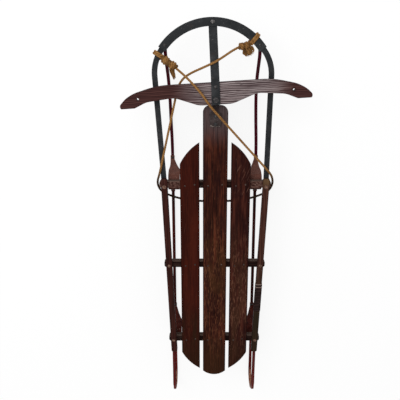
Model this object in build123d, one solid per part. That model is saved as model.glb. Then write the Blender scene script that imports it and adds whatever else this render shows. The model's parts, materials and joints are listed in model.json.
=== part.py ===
from build123d import *
import math
import os

os.makedirs("parts", exist_ok=True)

# Steerable runner sled: a slatted wooden deck on steel runners, turned by a wooden bar at the front.
# Millimetres. X to the right, Y forward, Z up. Origin on the ground at mid-length, on the middle line.

# Overall
length = 1254.0
track = 266.0
deck_height = 157.0

# Slats: the middle one is longer; its setback is from the bow's tip to its front end
slat_thick = 11.0
slat_gap = 10.7
slat_edge = 2.0
centre_slat_width = 73.0
centre_slat_setback = 242.0
centre_slat_rear = -508.0
centre_slat_shoulder = 21.0
centre_slat_tail_rise = 14.0
slat_rail_gap = 15.3
side_slat_front_inner = 276.0
side_slat_front_outer = 211.0
side_slat_rear_inner = -484.0
side_slat_rear_outer = -423.0
side_slat_nose_bulge = 9.0

# Crossbars under the slats
crossbar_width = 21.5
crossbar_thick = 20.0
crossbar_corner = 7.0
crossbar_edge = 3.0
crossbar_overhang = 6.0
crossbar_front_y = 147.0
crossbar_middle_y = -112.5
crossbar_rear_y = -376.0

# Side rails on the crossbars' ends, a little outside the runners in front and inside them at the tail
rail_width = 19.0
rail_thick = 16.0
rail_corner = 5.0
rail_edge = 3.0
rail_front_out = 20.0
rail_front_y = 168.0
rail_rear_out = -3.0
rail_rear_y = -419.0

# Tape bound round the cracked right rail
tape_thick = 1.2
tape_front_y = -175.0
tape_length = 96.0

# Runners: a tee section with its flange on the inside of each bend
# The tail's return ends behind the rear crossbar, and the nose's setbacks are from the bow's tip
runner_height = 14.0
runner_flange = 9.0
runner_flange_thick = 3.0
runner_web = 4.0
loop_radius = 40.0
loop_rake = 30.0
return_gap = 3.5
return_straight = 45.0
return_drop = 11.0
return_bend_radius = 120.0
nose_foot_setback = 202.0
nose_rise_radius = 165.0
nose_top_setback = 97.0
nose_top_radius = 38.0
nose_end_setback = 65.0

# Pseudo hinge where the sprung front of the runner starts to bend
spring_y = 216.0
spring_knuckle_radius = 6.0
spring_clearance = 0.2

# Knees: arched steel straps between runner and crossbar, wide above and narrow at the feet
# The wide part stands inwards of the runner by the lean
knee_thick = 3.0
knee_spread = 53.0
knee_foot_length = 13.0
knee_foot_width = 13.0
knee_top_width = 35.0
knee_top_length = 42.0
knee_wide_length = 60.0
knee_lean = 8.5
knee_foot_radius = 8.0
knee_top_radius = 14.0
knee_waist = 2.0

# Steering: pivot plate on the middle slat, bar, strap and bow
plate_thick = 4.0
plate_width = 33.0
plate_length = 42.0
plate_corner = 6.0
plate_neck_width = 19.0
pivot_ahead = 19.0
steering_gap = 0.4
bar_thick = 20.0
bar_edge = 2.5
bar_half_length = 273.0
bar_skew = 0.9
bar_front = 48.5
bar_rear = -13.5
# Right half of the bar's outline about the pivot, front to rear: share of half length, y, corner radius
bar_corners = [
    (0.60, bar_front, 250.0),
    (0.85, 30.5, 90.0),
    (0.938, 17.3, 60.0),
    (1.0, 0.0, 10.0),
    (0.99, -10.0, 4.0),
    (0.845, -10.0, 10.0),
    (0.72, 5.0, 60.0),
    (0.43, 12.5, 60.0),
    (0.175, bar_rear, 60.0),
]
bar_rope_hole_inset = 53.0
bar_rope_hole_y = 15.0
bar_rope_hole_diameter = 7.0
strap_width = 24.0
strap_thick = 4.0
strap_bend_radius = 25.0
strap_drop_start = 14.0
strap_drop_end = 32.0
bow_overhang = 51.0
bow_width = 24.0
bow_thick = 4.0
bow_lap_past = 14.0
side_strap_width = 16.0
side_strap_thick = 4.0
side_strap_play = 0.3
strap_pivot_back = 3.5
side_strap_nose_run = 54.0
side_strap_bend_radius = 112.0

# Bolts
bolt_diameter = 8.0
bolt_head_diameter = 17.0
bolt_head_height = 4.5
small_bolt_diameter = 6.0
small_bolt_head_diameter = 12.0
small_bolt_head_height = 3.0
head_dome_share = 0.6
nut_radius_share = 0.45
running_clearance = 0.06
seat_clearance = 0.2

# Tow rope: both ends tied at the front, its bight under the deck behind the front crossbar
rope_diameter = 5.8
rope_clearance = 0.3
knot_diameter = 16.0
knot_neck_diameter = 9.0
knot_collar_length = 9.0
knot_lumps = 3
knot_lump_flat = 0.4
knot_tail_share = 0.6
rope_loop_sides = 8
right_loop_angle = 42.5
left_loop_past = 34.0
right_tail_end = (96.0, 532.0, 150.0)
left_tail_end = (-112.0, 463.0, 146.0)
# The rope's route from the left knot to the right one: x, y, z, bend radius
rope_route = [
    (-118.0, 494.0, 153.0, 0.0),
    (-101.0, 481.0, 156.5, 20.0),
    (-63.0, 453.5, 185.6, 10.0),
    (-16.5, 390.0, 185.6, 40.0),
    (166.0, 181.0, 160.0, 12.0),
    (172.5, 160.0, 150.0, 12.0),
    (172.5, 140.0, 134.0, 14.0),
    (164.0, 121.0, 125.0, 14.0),
    (140.0, 106.0, 121.0, 60.0),
    (100.0, 93.0, 120.0, 120.0),
    (50.0, 87.0, 120.0, 200.0),
    (0.0, 85.0, 120.0, 400.0),
    (-50.0, 87.0, 120.0, 200.0),
    (-100.0, 93.0, 120.0, 120.0),
    (-140.0, 106.0, 121.0, 60.0),
    (-164.0, 121.0, 125.0, 14.0),
    (-172.5, 140.0, 134.0, 14.0),
    (-172.5, 160.0, 150.0, 12.0),
    (-166.0, 181.0, 157.5, 20.0),
    (-106.0, 444.0, 157.5, 40.0),
    (-84.0, 470.0, 162.5, 60.0),
    (-7.0, 505.0, 183.0, 40.0),
    (54.0, 543.0, 156.0, 30.0),
    (70.0, 548.5, 154.0, 0.0),
]

# The steering stands a little to the left, as the sled was put down
steer_at_rest = 2.6

# Heights and places that follow from the sizes above
slat_low = deck_height - slat_thick
crossbar_low = slat_low - crossbar_thick
rail_low = slat_low
rail_top = rail_low + rail_thick
side_strap_top = slat_low + side_strap_thick
bow_low = side_strap_top
strap_front_low = bow_low - strap_thick
plate_top = deck_height + plate_thick
bar_low = plate_top + steering_gap
bar_top = bar_low + bar_thick
half_track = track / 2
half_length = length / 2
centre_slat_front = half_length - centre_slat_setback
pivot_y = centre_slat_front + pivot_ahead
bar_rope_hole_x = bar_half_length - bar_rope_hole_inset
rail_front_x = half_track + rail_front_out
rail_rear_x = half_track + rail_rear_out
bow_radius = half_track + bow_overhang
bow_middle_radius = bow_radius - bow_width / 2
bow_centre_y = half_length - bow_radius
bow_bolt_y = bow_centre_y + bow_middle_radius
lap_angle = math.degrees(math.asin(half_track / bow_middle_radius))
lap_y = bow_centre_y + bow_middle_radius * math.cos(math.radians(lap_angle))
rail_lean = math.degrees(math.atan2(rail_front_x - rail_rear_x, rail_front_y - rail_rear_y))


def rail_x(y):
    share = (y - rail_rear_y) / (rail_front_y - rail_rear_y)
    return rail_rear_x + (rail_front_x - rail_rear_x) * share


strap_pivot_y = crossbar_front_y - strap_pivot_back
strap_pivot_x = rail_x(strap_pivot_y)

# Each link's own angle is a share of the steering angle, so that the laps stay together
swing = bow_bolt_y - pivot_y
lap_back = bow_bolt_y - lap_y
strap_splay = (strap_pivot_x - half_track) / half_track
strap_ratio = swing / (lap_y - strap_pivot_y - lap_back * strap_splay)
bow_ratio = -strap_ratio * strap_splay
spring_ratio = (swing - lap_back * bow_ratio) / (lap_y - spring_y)


def turn_about(x, y, angle):
    return Pos(x, y, 0) * Rot(0, 0, angle) * Pos(-x, -y, 0)


def mirrored(shape):
    return mirror(shape, about=Plane.YZ)


def drilled(shape, x, y, diameter):
    tall = 2 * deck_height
    return shape - Pos(x, y, deck_height) * Cylinder(diameter / 2, tall)


def edges_at(shape, z):
    # Edges that lie flat at height z
    near = 1e-3
    level = [edge for edge in shape.edges() if edge.bounding_box().size.Z < near]
    return [edge for edge in level if abs(edge.center().Z - z) < near]


def rivet(x, y, low, high, diameter, head_diameter, head_height):
    # Shank between two faces, with a domed head above
    shank = Pos(x, y, (low + high) / 2) * Cylinder(diameter / 2, high - low)
    head = Pos(x, y, high + head_height / 2) * Cylinder(head_diameter / 2, head_height)
    head = fillet(edges_at(head, high + head_height), head_height * head_dome_share)
    return shank + head


def bolt(x, y, low, high, diameter, head_diameter, head_height):
    # A rivet's form with a six-sided nut below
    nut_shape = Pos(x, y, low - head_height) * RegularPolygon(head_diameter * nut_radius_share, 6)
    return rivet(x, y, low, high, diameter, head_diameter, head_height) + extrude(nut_shape, head_height)


def flat_strip(path, width, thick, across):
    # Flat bar swept along a path; across is the direction of its width
    plane = Plane(origin=path @ 0, x_dir=across, z_dir=path % 0)
    return sweep(plane * Rectangle(width, thick), path=path)


def centre_slat():
    half = centre_slat_width / 2
    shoulder = centre_slat_shoulder
    front = centre_slat_front
    side_front = front - shoulder
    side_rear = centre_slat_rear + centre_slat_tail_rise
    with BuildSketch() as outline:
        with BuildLine():
            RadiusArc((half, side_front), (half - shoulder, front), -shoulder)
            Line((half - shoulder, front), (shoulder - half, front))
            RadiusArc((shoulder - half, front), (-half, side_front), -shoulder)
            Line((-half, side_front), (-half, side_rear))
            ThreePointArc((-half, side_rear), (0, centre_slat_rear), (half, side_rear))
            Line((half, side_rear), (half, side_front))
        make_face()
    slat = Pos(0, 0, slat_low) * extrude(outline.sketch, slat_thick)
    return fillet(edges_at(slat, deck_height), slat_edge)


def side_slat():
    inner = centre_slat_width / 2 + slat_gap
    outer = rail_rear_x - rail_width / 2 - slat_rail_gap
    middle = (inner + outer) / 2
    front_middle = (side_slat_front_inner + side_slat_front_outer) / 2 + side_slat_nose_bulge
    rear_middle = (side_slat_rear_inner + side_slat_rear_outer) / 2 - side_slat_nose_bulge
    front = [(inner, side_slat_front_inner), (middle, front_middle), (outer, side_slat_front_outer)]
    rear = [(outer, side_slat_rear_outer), (middle, rear_middle), (inner, side_slat_rear_inner)]
    with BuildSketch() as outline:
        with BuildLine():
            ThreePointArc(*front)
            Line(front[-1], rear[0])
            ThreePointArc(*rear)
            Line(rear[-1], front[0])
        make_face()
    slat = Pos(0, 0, slat_low) * extrude(outline.sketch, slat_thick)
    return fillet(edges_at(slat, deck_height), slat_edge)


def crossbar(y):
    reach = 2 * (rail_x(y) + rail_width / 2 + crossbar_overhang)
    outline = Pos(0, y, crossbar_low) * RectangleRounded(reach, crossbar_width, crossbar_corner)
    bar = extrude(outline, crossbar_thick)
    return fillet(edges_at(bar, crossbar_low), crossbar_edge)


def rail_bar(grow):
    # The rail's plain bar, made larger all round by grow
    long = math.hypot(rail_front_x - rail_rear_x, rail_front_y - rail_rear_y)
    outline = RectangleRounded(rail_width + 2 * grow, long, rail_corner)
    bar = extrude(outline, rail_thick + 2 * grow)
    bar = fillet(edges_at(bar, rail_thick + 2 * grow), rail_edge)
    middle_x = (rail_front_x + rail_rear_x) / 2
    middle_y = (rail_front_y + rail_rear_y) / 2
    return Pos(middle_x, middle_y, rail_low - grow) * Rot(0, 0, -rail_lean) * bar


def rail():
    # The front end is rebated below, where the side strap lies on the crossbar
    rebate_back = strap_pivot_y - side_strap_width / 2 - 2 * side_strap_play
    rebate_length = rail_front_y - rebate_back + rail_width
    rebate_height = side_strap_thick + side_strap_play
    rebate = Box(4 * rail_width, rebate_length, 2 * rebate_height)
    rebate = Pos(strap_pivot_x, rebate_back + rebate_length / 2, rail_low) * rebate
    bar = rail_bar(0) - rebate
    return drilled(bar, strap_pivot_x, strap_pivot_y, small_bolt_diameter + 2 * running_clearance)


def rail_tape():
    middle_y = tape_front_y - tape_length / 2
    band = Pos(rail_x(middle_y), middle_y, rail_low) * Box(4 * rail_width, tape_length, 4 * rail_thick)
    return (rail_bar(tape_thick) & band) - rail_bar(0)


def runner_whole():
    # Side view: from under the rail's tail, round the raked loop, along the ground and up to the bow
    mid = runner_height / 2
    return_z = rail_low - mid
    return_end = crossbar_rear_y - crossbar_width / 2 - return_gap
    return_drop_z = return_z - return_drop
    rake = math.radians(loop_rake)
    tail_y = -half_length + mid + loop_radius - loop_radius / math.tan((math.pi / 2 - rake) / 2)
    tail_top_y = tail_y + (return_drop_z - mid) * math.tan(rake)
    nose_z = slat_low - mid
    points = [
        (half_track, return_end, return_z),
        (half_track, return_end - return_straight, return_z),
        (half_track, tail_top_y, return_drop_z),
        (half_track, tail_y, mid),
        (half_track, half_length - nose_foot_setback, mid),
        (half_track, half_length - nose_top_setback, nose_z),
        (half_track, half_length - nose_end_setback, nose_z),
    ]
    bends = [return_bend_radius, loop_radius, loop_radius, nose_rise_radius, nose_top_radius]
    path = FilletPolyline(*points, radius=bends)
    web_height = runner_height - runner_flange_thick
    tee = Pos(0, -mid + runner_flange_thick / 2) * Rectangle(runner_flange, runner_flange_thick)
    tee += Pos(0, mid - web_height / 2) * Rectangle(runner_web, web_height)
    plane = Plane(origin=path @ 0, x_dir=(1, 0, 0), z_dir=path % 0)
    return sweep(plane * tee, path=path)


def runner_pair():
    # The sprung front is its own piece; a round knuckle stands for the steel's bend
    whole = runner_whole()
    far = 2 * length
    ahead = Pos(half_track, spring_y + far / 2, 0) * Box(far, far, far)
    knuckle = Pos(half_track, spring_y, 0) * Cylinder(spring_knuckle_radius, far)
    socket = Pos(half_track, spring_y, 0) * Cylinder(spring_knuckle_radius + spring_clearance, far)
    rear = whole - ahead - socket
    front = (whole & ahead) + (whole & knuckle)
    rear_part = rear.solids().sort_by(Axis.Y)[0]
    return rear_part, front.solids().sort_by(Axis.Y)[-1]


def knee(y):
    half_top = knee_top_length / 2
    foot_z = runner_height + knee_thick / 2
    top_z = crossbar_low - knee_thick / 2
    foot_in = knee_spread - knee_foot_length / 2
    foot_out = knee_spread + knee_foot_length / 2
    points = [
        (half_track, y - foot_out, foot_z),
        (half_track, y - foot_in, foot_z),
        (half_track, y - half_top, top_z),
        (half_track, y + half_top, top_z),
        (half_track, y + foot_in, foot_z),
        (half_track, y + foot_out, foot_z),
    ]
    bends = [knee_foot_radius, knee_top_radius, knee_top_radius, knee_foot_radius]
    path = FilletPolyline(*points, radius=bends)
    arch = flat_strip(path, knee_top_width + 2 * knee_lean, knee_thick, (1, 0, 0))
    wide = knee_top_width / 2
    half_wide = knee_wide_length / 2
    narrow = knee_foot_width / 2
    waist_y = (half_wide + foot_in) / 2
    waist_x = (wide + narrow) / 2 - knee_waist
    corners = [(1, 1), (-1, 1), (-1, -1), (1, -1)]
    with BuildSketch() as outline:
        with BuildLine():
            for side, end in corners:
                shoulder = (side * wide - knee_lean, end * half_wide)
                waist = (side * waist_x - knee_lean / 2, end * waist_y)
                ThreePointArc(shoulder, waist, (side * narrow, end * foot_in))
                Line((side * narrow, end * foot_in), (side * narrow, end * foot_out))
            for side in (1, -1):
                edge_x = side * wide - knee_lean
                Line((edge_x, -half_wide), (edge_x, half_wide))
                Line((-narrow, side * foot_out), (narrow, side * foot_out))
        make_face()
    plan = Pos(half_track, y, 0) * extrude(outline.sketch, deck_height)
    return arch & plan


def pivot_plate():
    rear_y = centre_slat_front - plate_length / 2 - pivot_ahead
    with BuildSketch() as outline:
        with Locations((0, rear_y)):
            RectangleRounded(plate_width, plate_length, plate_corner)
        with Locations((0, (rear_y + pivot_y) / 2)):
            Rectangle(plate_neck_width, pivot_y - rear_y)
        with Locations((0, pivot_y)):
            Circle(plate_neck_width / 2)
    plate = Pos(0, 0, deck_height) * extrude(outline.sketch, plate_thick)
    return drilled(plate, 0, pivot_y, bolt_diameter + 2 * running_clearance)


def steering_bar():
    # Hanger-shaped outline: straight front, swept-back tips, thin wings and a deep middle
    # It stands a little skew under its strap
    right = [(share * bar_half_length, y) for share, y, radius in bar_corners]
    left = [(-x, y) for x, y in reversed(right)]
    radii = [radius for share, y, radius in bar_corners]
    edge = FilletPolyline(*right, *left, radius=radii + radii[::-1], close=True)
    bar = Pos(0, 0, bar_low) * extrude(make_face(edge), bar_thick)
    bar = fillet(edges_at(bar, bar_top) + edges_at(bar, bar_low), bar_edge)
    bar = drilled(bar, 0, 0, bolt_diameter + 2 * running_clearance)
    for side in (1, -1):
        bar = drilled(bar, side * bar_rope_hole_x, bar_rope_hole_y, bar_rope_hole_diameter)
    return Pos(0, pivot_y, 0) * Rot(0, 0, bar_skew) * bar


def centre_strap():
    # Flat bar on top of the steering bar that drops to lie under the bow
    high = bar_top + strap_thick / 2
    low = strap_front_low + strap_thick / 2
    rear_y = pivot_y + bar_rear
    front_y = bow_bolt_y + strap_width / 2
    points = [
        (0, rear_y, high),
        (0, pivot_y + bar_front + strap_drop_start, high),
        (0, bow_bolt_y - strap_drop_end, low),
        (0, front_y, low),
    ]
    path = FilletPolyline(*points, radius=strap_bend_radius)
    strip = flat_strip(path, strap_width, strap_thick, (1, 0, 0))
    plan = Pos(0, (rear_y + bow_bolt_y) / 2, 0) * Rectangle(strap_width, bow_bolt_y - rear_y)
    plan += Pos(0, bow_bolt_y, 0) * Circle(strap_width / 2)
    strip = strip & extrude(plan, 2 * deck_height)
    strip = drilled(strip, 0, pivot_y, bolt_diameter + 2 * running_clearance)
    return drilled(strip, 0, bow_bolt_y, small_bolt_diameter + 2 * running_clearance)


def bow():
    # Flat arch, cut square a little past the laps
    half_angle = lap_angle + math.degrees(bow_lap_past / bow_middle_radius)
    ring = Circle(bow_radius) - Circle(bow_radius - bow_width)
    far = 2 * bow_radius
    left = (-far * math.sin(math.radians(half_angle)), far * math.cos(math.radians(half_angle)))
    right = (-left[0], left[1])
    wedge = make_face(Polyline((0, 0), left, (-far, far), (far, far), right, close=True))
    arch = Pos(0, bow_centre_y, bow_low) * extrude(ring & wedge, bow_thick)
    return drilled(arch, 0, bow_bolt_y, small_bolt_diameter + 2 * running_clearance)


def side_strap_path():
    # From the rail's bolt to the lap, where it lies along the bow's line
    heading = math.radians(lap_angle)
    corner_x = half_track + side_strap_nose_run * math.cos(heading)
    corner_y = lap_y - side_strap_nose_run * math.sin(heading)
    z = slat_low + side_strap_thick / 2
    points = [(strap_pivot_x, strap_pivot_y, z), (corner_x, corner_y, z), (half_track, lap_y, z)]
    return FilletPolyline(*points, radius=side_strap_bend_radius)


def side_strap():
    path = side_strap_path()
    strip = flat_strip(path, side_strap_width, side_strap_thick, (path % 0).rotate(Axis.Z, 90))
    for end in (path @ 0, path @ 1):
        strip += Pos(end.X, end.Y, end.Z) * Cylinder(side_strap_width / 2, side_strap_thick)
    return drilled(strip, strap_pivot_x, strap_pivot_y, small_bolt_diameter + 2 * running_clearance)


def rope_loop(place, along, width, thick):
    # One turn of rope round a flat bar at place; along is the bar's own direction there
    reach = rope_diameter / 2 + rope_clearance
    plane = Plane(origin=place, x_dir=along.rotate(Axis.Z, 90), z_dir=along)
    turn = (plane * RectangleRounded(width + 2 * reach, thick + 2 * reach, reach)).wire()
    section = Plane(origin=turn @ 0, z_dir=turn % 0) * RegularPolygon(rope_diameter / 2, rope_loop_sides)
    return sweep(section, path=turn)


def rope_knot(start, route, tail_end):
    # Lumps of rope in a row from the loop to the route's first point, and a short loose tail
    end = Vector(*route[0][:3])
    run = (Vector(*route[1][:3]) - end).normalized()
    axis = end - start - run * knot_collar_length / 2
    neck = knot_neck_diameter / 2
    step = axis.length / knot_lumps
    slope = step * (1 - knot_lump_flat) / 2
    profile = [(0, 0), (neck, 0)]
    wide = knot_diameter / 2
    for lump in range(knot_lumps):
        low = lump * step
        profile += [(wide, low + slope), (wide, low + step - slope), (neck, low + step)]
    profile.append((0, axis.length))
    half = Plane.XZ * make_face(Polyline(*profile, close=True))
    knot = Plane(origin=start, z_dir=axis).location * revolve(half, Axis.Z)
    collar_start = Plane(origin=end - run * knot_collar_length, z_dir=run)
    knot += extrude(collar_start * Circle(neck), knot_collar_length - rope_clearance)
    tail_start = start + axis * knot_tail_share
    tail_axis = Vector(*tail_end) - tail_start
    tail_section = Plane(origin=tail_start, z_dir=tail_axis) * Circle(rope_diameter / 2)
    return knot + extrude(tail_section, tail_axis.length)


def tow_rope():
    points = [(x, y, z) for x, y, z, radius in rope_route]
    radii = [radius for x, y, z, radius in rope_route[1:-1]]
    path = FilletPolyline(*points, radius=radii)
    section = Plane(origin=path @ 0, z_dir=path % 0) * Circle(rope_diameter / 2)
    rope = sweep(section, path=path)
    share = rope.volume / section.area / path.length
    print("rope length", round(path.length), "volume share", round(share, 4))
    return rope


# Fixed pieces of the deck
fixed = {"slat_centre": centre_slat(), "pivot_plate": pivot_plate(), "rail_tape": rail_tape()}
for name, y in (("front", crossbar_front_y), ("middle", crossbar_middle_y), ("rear", crossbar_rear_y)):
    fixed["crossbar_" + name] = crossbar(y)
bolt_hole = small_bolt_diameter + 2 * running_clearance
for side in (1, -1):
    bar = fixed["crossbar_front"]
    fixed["crossbar_front"] = drilled(bar, side * strap_pivot_x, strap_pivot_y, bolt_hole)
bolt_high = bar_top + strap_thick + seat_clearance
bolt_sizes = (bolt_diameter, bolt_head_diameter, bolt_head_height)
small_sizes = (small_bolt_diameter, small_bolt_head_diameter, small_bolt_head_height)
fixed["steering_bolt"] = bolt(0, pivot_y, deck_height, bolt_high, *bolt_sizes)

runner_rear, runner_front = runner_pair()
right_side = {
    "slat": side_slat(),
    "rail": rail(),
    "runner": runner_rear,
    "knee_front": knee(crossbar_front_y),
    "knee_rear": knee(crossbar_rear_y),
    "rail_bolt": rivet(strap_pivot_x, strap_pivot_y, crossbar_low, rail_top, *small_sizes),
}
for name, shape in right_side.items():
    fixed[name + "_right"] = shape
    fixed[name + "_left"] = mirrored(shape)

# Moving pieces, built straight ahead and then turned to where they stand
steer = math.radians(steer_at_rest)
steering_place = turn_about(0, pivot_y, steer_at_rest)
bow_shift = Pos(-swing * math.sin(steer), swing * (math.cos(steer) - 1), 0)
bow_place = bow_shift * turn_about(0, bow_bolt_y, steer_at_rest * bow_ratio)
moving = {
    "steering_bar": steering_place * steering_bar(),
    "centre_strap": steering_place * centre_strap(),
    "bow_bolt": steering_place * bolt(0, bow_bolt_y, strap_front_low, bow_low + bow_thick, *small_sizes),
    "bow": bow_place * bow(),
}
strap = side_strap()
strap_places = {}
for name, side in (("right", 1), ("left", -1)):
    strap_places[name] = turn_about(side * strap_pivot_x, strap_pivot_y, steer_at_rest * strap_ratio)
    spring_place = turn_about(side * half_track, spring_y, steer_at_rest * spring_ratio)
    moving["side_strap_" + name] = strap_places[name] * (strap if side == 1 else mirrored(strap))
    moving["runner_front_" + name] = spring_place * (runner_front if side == 1 else mirrored(runner_front))

# The rope's loops hold on the bow and on the left strap, and the knots lead to the free run
loop_reach = rope_diameter / 2 + 2 * rope_clearance
outward = Vector(0, 1, 0).rotate(Axis.Z, -right_loop_angle)
spot = Vector(0, bow_centre_y, bow_low + bow_thick / 2) + outward * bow_middle_radius
spot = (bow_place * Pos(*spot)).position
loop = rope_loop(spot, outward.rotate(Axis.Z, -90), bow_width, bow_thick)
inner = spot - outward * (bow_width / 2 + loop_reach)
moving["rope_knot_right"] = loop + rope_knot(inner, rope_route[::-1], right_tail_end)

path = side_strap_path()
share = 1 - left_loop_past / path.length
spot = path @ share
along = path % share
spot = (strap_places["left"] * Pos(-spot.X, spot.Y, spot.Z)).position
along = Vector(-along.X, along.Y, 0).rotate(Axis.Z, steer_at_rest * strap_ratio)
loop = rope_loop(spot, along, side_strap_width, side_strap_thick)
inner = spot + along.rotate(Axis.Z, -90) * (side_strap_width / 2 + loop_reach)
moving["rope_knot_left"] = loop + rope_knot(inner, rope_route, left_tail_end)
fixed["tow_rope"] = tow_rope()

for name, shape in {**fixed, **moving}.items():
    export_step(shape, os.path.join("parts", name + ".step"))
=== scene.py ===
import bpy
import bmesh
import json
import math
import numpy as np
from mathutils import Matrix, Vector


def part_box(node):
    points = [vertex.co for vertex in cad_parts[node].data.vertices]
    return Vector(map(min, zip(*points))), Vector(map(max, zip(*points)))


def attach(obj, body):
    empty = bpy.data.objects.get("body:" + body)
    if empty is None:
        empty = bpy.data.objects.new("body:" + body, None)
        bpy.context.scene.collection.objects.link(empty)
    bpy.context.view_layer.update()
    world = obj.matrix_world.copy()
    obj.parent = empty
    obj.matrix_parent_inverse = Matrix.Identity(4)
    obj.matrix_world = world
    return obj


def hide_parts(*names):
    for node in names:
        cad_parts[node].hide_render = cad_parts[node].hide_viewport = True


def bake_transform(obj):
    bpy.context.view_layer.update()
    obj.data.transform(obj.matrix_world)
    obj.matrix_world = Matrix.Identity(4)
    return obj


# An old steerable sled seen from above its bow: worn slats and rails, painted steel, a tow rope
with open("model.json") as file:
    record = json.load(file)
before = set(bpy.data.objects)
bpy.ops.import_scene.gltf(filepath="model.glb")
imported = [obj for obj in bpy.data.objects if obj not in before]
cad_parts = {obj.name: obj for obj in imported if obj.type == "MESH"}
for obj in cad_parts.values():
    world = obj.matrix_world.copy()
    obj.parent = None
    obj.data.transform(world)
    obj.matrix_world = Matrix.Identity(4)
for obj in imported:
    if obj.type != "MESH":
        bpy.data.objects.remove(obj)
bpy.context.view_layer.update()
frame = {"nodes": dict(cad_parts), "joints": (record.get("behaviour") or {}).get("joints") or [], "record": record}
nodes = frame["nodes"]
jointAt = {joint["name"]: np.array(joint["pos_m"]) for joint in frame["joints"]}
couplings = {row["joint"]: row["ratio"] for row in frame["record"]["behaviour"]["couplings"]}
pivot = jointAt["steer"]
toBow = jointAt["bow_turn"] - pivot
steerAngle = math.atan2(-toBow[0], toBow[1])  # how far the steering stands to the left
print("frame:", len(nodes), "nodes, steering at", round(math.degrees(steerAngle), 2), "degrees")


# Mesh helpers

upward = np.array([0.0, 0.0, 1.0])


def unit(vectors):
    return vectors / np.linalg.norm(vectors, axis=-1, keepdims=True)


def turned(points, centre, angle):
    # Points turned about an upright axis through centre; the angle may differ from point to point
    away = points - centre
    x = away[..., 0] * np.cos(angle) - away[..., 1] * np.sin(angle)
    y = away[..., 0] * np.sin(angle) + away[..., 1] * np.cos(angle)
    return np.stack([x, y, away[..., 2]], axis=-1) + centre


def eased(value, low, high):
    # 0 below low, 1 above high, and the smooth step 3tt - 2ttt between
    t = np.clip((value - low) / (high - low), 0, 1)
    return t * t * (3 - 2 * t)


def measured(line):
    # Distance along a line at each of its points
    return np.concatenate([[0], np.cumsum(np.linalg.norm(np.diff(line, axis=0), axis=1))])


def makePiece(name, points, material, straight=None, sharp=None):
    # One mesh from points[tube, ring, around]: quads between rings, a flat face on each tube's two ends.
    # straight holds each point's place on the bar or rope before it was bent, for the material.
    points = points.reshape((-1,) + points.shape[-3:])
    tubes, rings, around = points.shape[:3]
    ring, side = np.meshgrid(np.arange(rings - 1), np.arange(around), indexing="ij")
    beside = (side + 1) % around
    low = ring * around
    high = low + around
    quads = np.stack([low + side, low + beside, high + beside, high + side], axis=-1).reshape(-1, 4)
    starts = np.arange(tubes)[:, None] * rings * around
    faces = (quads + starts[:, None]).reshape(-1, 4).tolist()
    faces += (np.arange(around)[::-1] + starts).tolist()
    faces += (np.arange(around) + (rings - 1) * around + starts).tolist()
    mesh = bpy.data.meshes.new(name)
    mesh.from_pydata(points.reshape(-1, 3).tolist(), [], faces)
    if straight is not None:
        layer = mesh.attributes.new("straight", "FLOAT_VECTOR", "POINT")
        layer.data.foreach_set("vector", straight.astype(np.float32).ravel())
    shell = bmesh.new()
    shell.from_mesh(mesh)
    bmesh.ops.remove_doubles(shell, verts=shell.verts, dist=1e-6)  # closes the tips of domes
    bmesh.ops.recalc_face_normals(shell, faces=shell.faces)
    shell.to_mesh(mesh)
    shell.free()
    mesh.shade_smooth()
    if sharp:
        mesh.set_sharp_from_angle(angle=math.radians(sharp))
    mesh.materials.append(material)
    piece = bpy.data.objects.new(name, mesh)
    bpy.context.scene.collection.objects.link(piece)
    return piece


def carried(line, profile, reference):
    # Profile carried along a line: line + across * x + over * y, across being square to line and reference
    tangent = unit(np.gradient(line, axis=0))
    across = unit(np.cross(tangent, reference))
    over = np.cross(across, tangent)
    return line[:, None] + across[:, None] * profile[..., :1] + over[:, None] * profile[..., 1:]


def bentBar(corners, radii, arcPoints):
    # A steel bar's or a section's line: each inner corner gives way to an arc tangent to both its straights
    corners = np.array(corners, float)
    turn = np.linspace(0, 1, arcPoints)[:, None]
    pieces = [corners[:1]]
    for before, corner, after, radius in zip(corners, corners[1:], corners[2:], radii):
        first, second = unit(before - corner), unit(after - corner)
        half = np.arccos(np.clip(first @ second, -1, 1)) / 2
        middle = corner + unit(first + second) * radius / np.sin(half)
        out = unit(corner - middle)
        ease = unit(second - first)
        angle = (turn * 2 - 1) * (np.pi / 2 - half)
        pieces.append(middle + radius * (out * np.cos(angle) + ease * np.sin(angle)))
    return np.concatenate(pieces + [corners[-1:]])


def spacedLine(line, step):
    # The line again with its points evenly spaced
    along = measured(line)
    places = np.linspace(0, along[-1], max(2, round(along[-1] / step) + 1))
    return np.stack([np.interp(places, along, line[:, axis]) for axis in range(3)], axis=1)


# Shading helpers

def tint(red, green, blue):
    # Screen values of 0 to 255 as the linear colour that a socket takes
    share = np.array([red, green, blue]) / 255
    linear = np.where(share <= 0.04045, share / 12.92, ((share + 0.055) / 1.055) ** 2.4)
    return (*linear.tolist(), 1.0)


def newMaterial(name, specular, roughness=0.5, metallic=0.0):
    material = bpy.data.materials.new(name)
    material.use_nodes = True
    shader = material.node_tree.nodes["Principled BSDF"]
    shader.inputs["Roughness"].default_value = roughness
    shader.inputs["Specular IOR Level"].default_value = specular
    shader.inputs["Metallic"].default_value = metallic
    return material, material.node_tree, shader


def add(tree, kind, inputs, **settings):
    made = tree.nodes.new(kind)
    for key, value in settings.items():
        setattr(made, key, value)
    for key, value in inputs.items():
        if isinstance(value, bpy.types.NodeSocket):
            tree.links.new(value, made.inputs[key])
        else:
            made.inputs[key].default_value = value
    return made


def connect(tree, socket, shader, name):
    tree.links.new(socket, shader.inputs[name])


def objectPlace(tree):
    return add(tree, "ShaderNodeTexCoord", {}).outputs["Object"]


def straightPlace(tree):
    return add(tree, "ShaderNodeAttribute", {}, attribute_name="straight").outputs["Vector"]


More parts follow.
